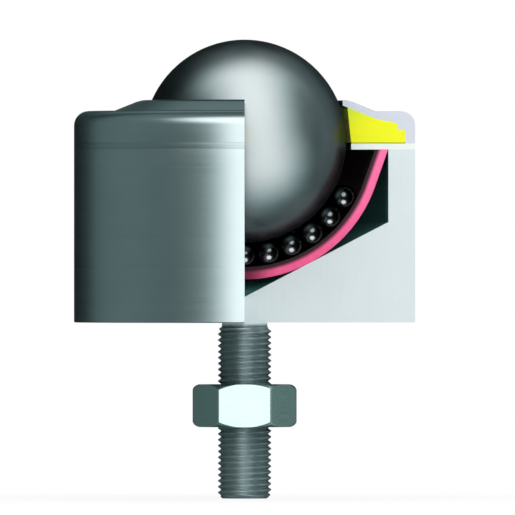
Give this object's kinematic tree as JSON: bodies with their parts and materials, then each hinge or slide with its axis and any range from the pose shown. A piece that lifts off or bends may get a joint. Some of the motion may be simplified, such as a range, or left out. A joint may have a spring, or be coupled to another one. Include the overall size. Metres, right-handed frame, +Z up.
{
  "type": "ball transfer unit",
  "caption": "Stud-mounted ball transfer unit with a quarter cut away: a load ball carried on small bearing balls in a race cup, under a sealed cover.",
  "frame": {"origin": "centre of the housing's flat underside, on the axis of the stud", "axes": "+Z up the stud's axis through the load ball; the cut-away quarter is at +X and -Y, and the nut's flats face +Y and -Y"},
  "size_m": [0.064, 0.064, 0.0861],
  "materials": {
    "housing_steel": "turned and blued, fine circular tool marks",
    "plate_steel": "flat, satin",
    "felt": "dense yellow felt",
    "cup_steel": "cut edge painted pink, satin",
    "ball_steel": "ground and polished",
    "zinc_steel": "bright zinc"
  },
  "bodies": {
    "body": {"housing": "housing_steel", "lid": "housing_steel", "retaining_plate": "plate_steel", "felt_seal": "felt", "race_cup": "cup_steel", "bearing_ball_pole": "ball_steel", "bearing_ball_front_1": "ball_steel", "bearing_ball_front_2": "ball_steel", "bearing_ball_front_3": "ball_steel", "bearing_ball_front_4": "ball_steel", "bearing_ball_front_5": "ball_steel", "bearing_ball_side_1": "ball_steel", "bearing_ball_side_2": "ball_steel", "bearing_ball_side_3": "ball_steel", "bearing_ball_side_4": "ball_steel", "bearing_ball_side_5": "ball_steel", "bearing_ball_ring_1": "ball_steel", "bearing_ball_ring_2": "ball_steel", "bearing_ball_ring_3": "ball_steel", "bearing_ball_ring_4": "ball_steel", "bearing_ball_ring_5": "ball_steel"},
    "ball": {"load_ball": "ball_steel"},
    "nut": {"hex_nut": "zinc_steel"}
  },
  "joints": [
    {"name": "load_ball_roll", "type": "hinge", "parent": "body", "child": "ball", "pos_m": [0, 0, 0.03401], "axis": [0, 1, 0], "continuous": true},
    {"name": "nut_travel", "type": "slide", "parent": "body", "child": "nut", "axis": [0, 0, 1], "range_m": [-0.0134, 0.0115]}
  ]
}
